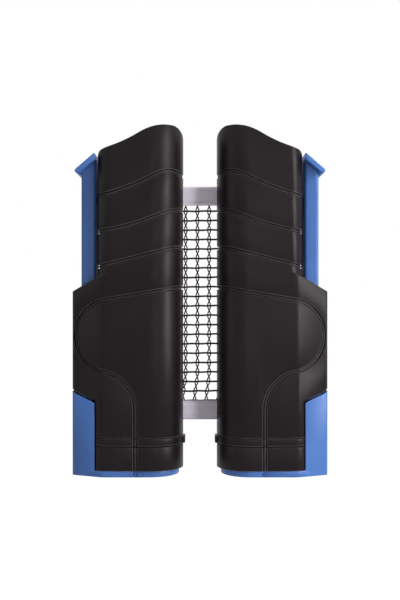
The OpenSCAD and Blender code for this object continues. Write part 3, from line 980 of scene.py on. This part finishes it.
class NETPOST_OT_finishes(bpy.types.Operator):
    """Mixes every finish and gives the inner parts theirs"""

    bl_idname = "netpost.finishes"
    bl_label = "Finishes"

    INNER = {
        "roller_axle": "turned_steel",
        "lower_bush": "turned_nylon",
        "upper_bush": "turned_nylon",
        "net_roller": "turned_nylon",
    }

    def execute(self, context):
        looks = context.scene.net_post_finishes
        # The black finish gets the painted highlight on its rounded edges
        moulded("moulded_black", looks.black, rough=0.38, shine=0.14, rubbed=looks.rubbed)
        moulded("moulded_blue", looks.blue, rough=0.38, shine=0.35)
        moulded("turned_nylon", looks.nylon, rough=0.5, shine=0.4, grain=0.15)
        rubber_finish(looks.rubber)
        metal("drawn_steel", looks.steel, rough=0.3, marks=(300, 300, 2400))
        metal("turned_steel", looks.steel, rough=0.24, marks=(90, 90, 3000))
        metal("plated_steel", colour(looks.steel, 0.8), rough=0.3, marks=(1800, 1800, 1800))
        cord_finish(looks.cord)
        tape_finish(looks.tape)
        roll_finish(looks.cord, looks.tape)
        for side, _ in SIDES:
            for part, finish in self.INNER.items():
                give(frame["nodes"][f"{side}_{part}"], finish)
        return {"FINISHED"}


# ---------- Stage ----------


class NETPOST_OT_studio(bpy.types.Operator):
    """Adds the floor, the world, the lamps and the camera"""

    bl_idname = "netpost.studio"
    bl_label = "Studio"

    WHITE = (1, 1, 1, 1)
    # Strength of the world's light on the object
    AMBIENT = 0.08
    # The floor just under the open jaws: its size, its grey, its white's strength and the share that shows
    FLOOR = JAW_OPEN - 1 * MM
    FLOOR_SIZE = 30
    FLOOR_GREY = (0.6, 0.6, 0.6, 1)
    FLOOR_WHITE = 1.1
    FLOOR_SHARE = 0.92
    # Place, aim, size and power of each near lamp
    KEY = ((0.3, -0.2, 0.2), (0.01, 0, 0.13), (0.045, 0.34), 1.1)
    TOP = ((0, -0.09, 0.6), (0, -0.02, 0.15), (0.34, 0.06), 2)
    FILL = ((-1.55, -0.75, 0.3), (0, 0, 0.12), (0.4, 0.9), 1.6)
    FRONT = ((0.075, -0.6, 0.17), (0.035, 0, 0.14), (0.03, 0.34), 0.3)
    # Where the distant lamp shines from, its spread in degrees and its strength
    FAR_KEY = ((0.39, -0.28, 0.12), 12, 0.6)
    # The camera's sensor in millimetres, and the nearest thing that it sees
    SENSOR = 36
    NEAREST = 10 * MM

    def execute(self, context):
        context.scene.view_settings.view_transform = "Standard"
        self.world(context)
        self.floor()
        self.lamp("key", *self.KEY)
        self.sun("far_key", *self.FAR_KEY)
        self.lamp("top", *self.TOP)
        self.lamp("fill", *self.FILL)
        self.lamp("front", *self.FRONT)
        self.camera(context)
        return {"FINISHED"}

    def world(self, context):
        """White behind the object and in what it mirrors, and a dim light on it."""
        world = bpy.data.worlds.new("studio")
        context.scene.world = world
        w = Nodes(world, "ShaderNodeOutputWorld")
        soft = w.node("ShaderNodeBackground", Color=self.WHITE, Strength=self.AMBIENT)
        white = w.node("ShaderNodeBackground", Color=self.WHITE)
        w.surface(w.node("ShaderNodeMixShader", {}, w.shown(), soft, white))

    def floor(self):
        """A floor that shows nearly white and keeps a little of the object's shadow."""
        bpy.ops.mesh.primitive_plane_add(size=self.FLOOR_SIZE, location=(0, 0, self.FLOOR))
        floor = bpy.context.object
        floor.name = "floor"
        f = Finish("floor")
        shadowed = f.node("ShaderNodeBsdfDiffuse", Color=self.FLOOR_GREY)
        white = f.node("ShaderNodeEmission", Color=self.WHITE, Strength=self.FLOOR_WHITE)
        f.surface(f.node("ShaderNodeMixShader", {}, f.shown() * self.FLOOR_SHARE, shadowed, white))
        floor.data.materials.append(f.material)

    def sun(self, name, way, spread, strength):
        """A distant lamp, which lights the drawn-out net evenly."""
        lamp = self.light(name, "SUN", way, (0, 0, 0))
        lamp.data.angle = math.radians(spread)
        lamp.data.energy = strength

    def lamp(self, name, place, aim, size, power):
        """A near lamp, out of the camera's sight."""
        lamp = self.light(name, "AREA", place, aim)
        lamp.data.shape = "RECTANGLE"
        lamp.data.size, lamp.data.size_y = size
        lamp.data.energy = power
        lamp.visible_camera = False

    def light(self, name, kind, place, aim):
        bpy.ops.object.light_add(type=kind, location=place)
        lamp = bpy.context.object
        lamp.name = name
        lamp.rotation_mode = "QUATERNION"
        lamp.rotation_quaternion = (Vector(aim) - Vector(place)).to_track_quat("-Z", "Y")
        return lamp

    def camera(self, context):
        """The camera, straight in front of the posts."""
        studio = context.scene.net_post_studio
        place = (0, cad_low[1] - studio.distance, studio.height)
        bpy.ops.object.camera_add(location=place, rotation=(math.pi / 2 + studio.pitch, 0, 0))
        camera = context.object
        camera.data.lens = studio.lens
        camera.data.sensor_width = self.SENSOR
        camera.data.clip_start = self.NEAREST
        context.scene.camera = camera


class NETPOST_PT_panel(bpy.types.Panel):
    """Lists the steps and the settings"""

    bl_idname = "NETPOST_PT_panel"
    bl_label = "Net Posts"
    bl_space_type = "VIEW_3D"
    bl_region_type = "UI"
    bl_category = "Net Posts"

    def draw(self, context):
        for group, kind in GROUPS:
            for key in kind.__annotations__:
                self.layout.prop(getattr(context.scene, group), key)
        for step in STEPS:
            self.layout.operator(step.bl_idname)


STEPS = (
    NETPOST_OT_finishes,
    NETPOST_OT_mouldings,
    NETPOST_OT_screws,
    NETPOST_OT_springs,
    NETPOST_OT_net,
    NETPOST_OT_tapes,
    NETPOST_OT_rolls,
    NETPOST_OT_studio,
)
CLASSES = tuple(kind for _, kind in GROUPS) + STEPS + (NETPOST_PT_panel,)


def register():
    for kind in CLASSES:
        bpy.utils.register_class(kind)
    for name, kind in GROUPS:
        setattr(bpy.types.Scene, name, bpy.props.PointerProperty(type=kind))


def unregister():
    for name, _ in GROUPS:
        delattr(bpy.types.Scene, name)
    for kind in reversed(CLASSES):
        bpy.utils.unregister_class(kind)


def main():
    register()
    bpy.ops.netpost.finishes()
    bpy.ops.netpost.mouldings()
    bpy.ops.netpost.screws()
    bpy.ops.netpost.springs()
    bpy.ops.netpost.net()
    bpy.ops.netpost.tapes()
    bpy.ops.netpost.rolls()
    bpy.ops.netpost.studio()


if __name__ == "__main__":
    main()
